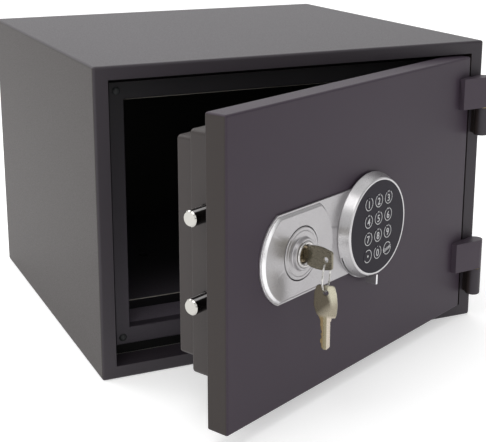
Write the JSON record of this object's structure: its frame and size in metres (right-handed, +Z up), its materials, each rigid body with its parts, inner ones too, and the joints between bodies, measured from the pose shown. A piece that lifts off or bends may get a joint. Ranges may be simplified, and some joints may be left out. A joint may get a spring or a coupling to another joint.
{
  "type": "surface-mounted safe",
  "caption": "Fire-resistant steel safe with a hinged door standing ajar, round locking bolts, an electronic keypad with a turning lever, and a key lock with keys on a ring.",
  "frame": {"origin": "middle of the underside of the cabinet's base", "axes": "+Z up, -Y towards the front opening, +X to the right as seen from the front (the hinge side)"},
  "size_m": [0.4285, 0.5773, 0.306],
  "materials": {
    "graphite_coat": "fine textured powder coat",
    "chamber_black": "satin dark paint",
    "seal_black": "matte",
    "infill_board": "rough mineral",
    "zinc_steel": "satin zinc",
    "bolt_steel": "satin chrome",
    "silver_plate": "satin silver",
    "bright_nickel": "polished nickel",
    "key_nickel": "worn nickel",
    "key_spare": "worn nickel",
    "panel_black": "satin black",
    "button_black": "satin black with pale printing",
    "board_green": "solder mask",
    "black_plastic": "moulded",
    "cell_metal": "wrapped cell",
    "brass_plain": "machined"
  },
  "bodies": {
    "cabinet": {"cabinet_shell": "graphite_coat", "back_panel": "graphite_coat", "jamb_frame": "graphite_coat", "jamb_buffers": "seal_black", "fire_seal": "seal_black", "store_liner": "chamber_black", "strike_channel": "chamber_black", "anchor_sleeves": "zinc_steel", "cabinet_infill": "infill_board", "hinge_fixed_barrels": "graphite_coat", "hinge_pins": "zinc_steel", "hinge_washers": "brass_plain"},
    "door": {"door_skin": "graphite_coat", "door_infill": "infill_board", "door_back_plate": "graphite_coat", "bolt_box": "graphite_coat", "inner_cover": "graphite_coat", "inner_cover_board": "infill_board", "cover_screws": "zinc_steel", "battery_tray": "black_plastic", "battery_cells": "cell_metal", "battery_cover": "black_plastic", "hinge_leaves": "graphite_coat", "lock_plate": "silver_plate", "lock_rosette": "bright_nickel", "lock_cylinder": "bright_nickel", "cylinder_nut": "zinc_steel", "spindle_bush": "brass_plain", "keypad_housing": "silver_plate", "keypad_face": "panel_black", "keypad_board": "board_green", "bolt_bushes": "brass_plain", "carrier_guides": "zinc_steel", "bar_guide": "zinc_steel", "solenoid_case": "zinc_steel"},
    "lever": {"lever_disc": "silver_plate", "lever_spindle": "zinc_steel", "crank_arm": "zinc_steel"},
    "bolt_work": {"bolt_carrier": "zinc_steel", "locking_bolts": "bolt_steel", "bolt_screws": "zinc_steel"},
    "lock_plug": {"lock_plug": "bright_nickel", "lock_cam": "zinc_steel"},
    "locking_bar": {"locking_bar": "zinc_steel"},
    "solenoid_plunger": {"solenoid_plunger": "zinc_steel"},
    "key": {"key": "key_nickel"},
    "key_ring": {"key_ring": "bright_nickel"},
    "spare_key": {"spare_key": "key_spare"},
    "key_1": {"key_1": "button_black"},
    "key_2": {"key_2": "button_black"},
    "key_3": {"key_3": "button_black"},
    "key_4": {"key_4": "button_black"},
    "key_5": {"key_5": "button_black"},
    "key_6": {"key_6": "button_black"},
    "key_7": {"key_7": "button_black"},
    "key_8": {"key_8": "button_black"},
    "key_9": {"key_9": "button_black"},
    "key_star": {"key_star": "button_black"},
    "key_0": {"key_0": "button_black"},
    "key_enter": {"key_enter": "button_black"}
  },
  "joints": [
    {"name": "door_hinge", "type": "hinge", "parent": "cabinet", "child": "door", "pos_m": [0.208, -0.2095, 0.15], "axis": [0, 0, 1], "range_deg": [-26, 154]},
    {"name": "lever_turn", "type": "hinge", "parent": "door", "child": "lever", "pos_m": [0.02363, -0.28885, 0.1542], "axis": [-0.4384, 0.8988, 0], "range_deg": [0, 60]},
    {"name": "bolt_slide", "type": "slide", "parent": "door", "child": "bolt_work", "axis": [0.8988, 0.4384, 0], "range_m": [0, 0.022]},
    {"name": "lock_turn", "type": "hinge", "parent": "door", "child": "lock_plug", "pos_m": [-0.07362, -0.33629, 0.1542], "axis": [-0.4384, 0.8988, 0], "range_deg": [0, 90]},
    {"name": "bar_slide", "type": "slide", "parent": "door", "child": "locking_bar", "axis": [0, 0, 1], "range_m": [0, 0.00849]},
    {"name": "key_slide", "type": "slide", "parent": "lock_plug", "child": "key", "axis": [0.4384, -0.8988, 0], "range_m": [0, 0.03]},
    {"name": "ring_swing", "type": "hinge", "parent": "key", "child": "key_ring", "pos_m": [-0.06003, -0.36415, 0.1542], "axis": [0.8988, 0.4384, 0], "range_deg": [-25, 10]},
    {"name": "spare_key_swing", "type": "hinge", "parent": "key_ring", "child": "spare_key", "pos_m": [-0.06003, -0.36415, 0.1244], "axis": [0.682, 0.7314, 0], "range_deg": [-25, 10]},
    {"name": "plunger_slide", "type": "slide", "parent": "door", "child": "solenoid_plunger", "axis": [0, 0, 1], "range_m": [-0.007, 0], "stiffness_N_per_m": 100},
    {"name": "key_1_press", "type": "slide", "parent": "door", "child": "key_1", "axis": [-0.4384, 0.8988, 0], "range_m": [0, 0.0008], "stiffness_N_per_m": 400},
    {"name": "key_2_press", "type": "slide", "parent": "door", "child": "key_2", "axis": [-0.4384, 0.8988, 0], "range_m": [0, 0.0008], "stiffness_N_per_m": 400},
    {"name": "key_3_press", "type": "slide", "parent": "door", "child": "key_3", "axis": [-0.4384, 0.8988, 0], "range_m": [0, 0.0008], "stiffness_N_per_m": 400},
    {"name": "key_4_press", "type": "slide", "parent": "door", "child": "key_4", "axis": [-0.4384, 0.8988, 0], "range_m": [0, 0.0008], "stiffness_N_per_m": 400},
    {"name": "key_5_press", "type": "slide", "parent": "door", "child": "key_5", "axis": [-0.4384, 0.8988, 0], "range_m": [0, 0.0008], "stiffness_N_per_m": 400},
    {"name": "key_6_press", "type": "slide", "parent": "door", "child": "key_6", "axis": [-0.4384, 0.8988, 0], "range_m": [0, 0.0008], "stiffness_N_per_m": 400},
    {"name": "key_7_press", "type": "slide", "parent": "door", "child": "key_7", "axis": [-0.4384, 0.8988, 0], "range_m": [0, 0.0008], "stiffness_N_per_m": 400},
    {"name": "key_8_press", "type": "slide", "parent": "door", "child": "key_8", "axis": [-0.4384, 0.8988, 0], "range_m": [0, 0.0008], "stiffness_N_per_m": 400},
    {"name": "key_9_press", "type": "slide", "parent": "door", "child": "key_9", "axis": [-0.4384, 0.8988, 0], "range_m": [0, 0.0008], "stiffness_N_per_m": 400},
    {"name": "key_star_press", "type": "slide", "parent": "door", "child": "key_star", "axis": [-0.4384, 0.8988, 0], "range_m": [0, 0.0008], "stiffness_N_per_m": 400},
    {"name": "key_0_press", "type": "slide", "parent": "door", "child": "key_0", "axis": [-0.4384, 0.8988, 0], "range_m": [0, 0.0008], "stiffness_N_per_m": 400},
    {"name": "key_enter_press", "type": "slide", "parent": "door", "child": "key_enter", "axis": [-0.4384, 0.8988, 0], "range_m": [0, 0.0008], "stiffness_N_per_m": 400}
  ],
  "couplings": [
    {"joint": "bolt_slide", "follows": "lever_turn", "m_per_rad": 0.021008},
    {"joint": "bar_slide", "follows": "lock_turn", "m_per_rad": 0.005402}
  ]
}
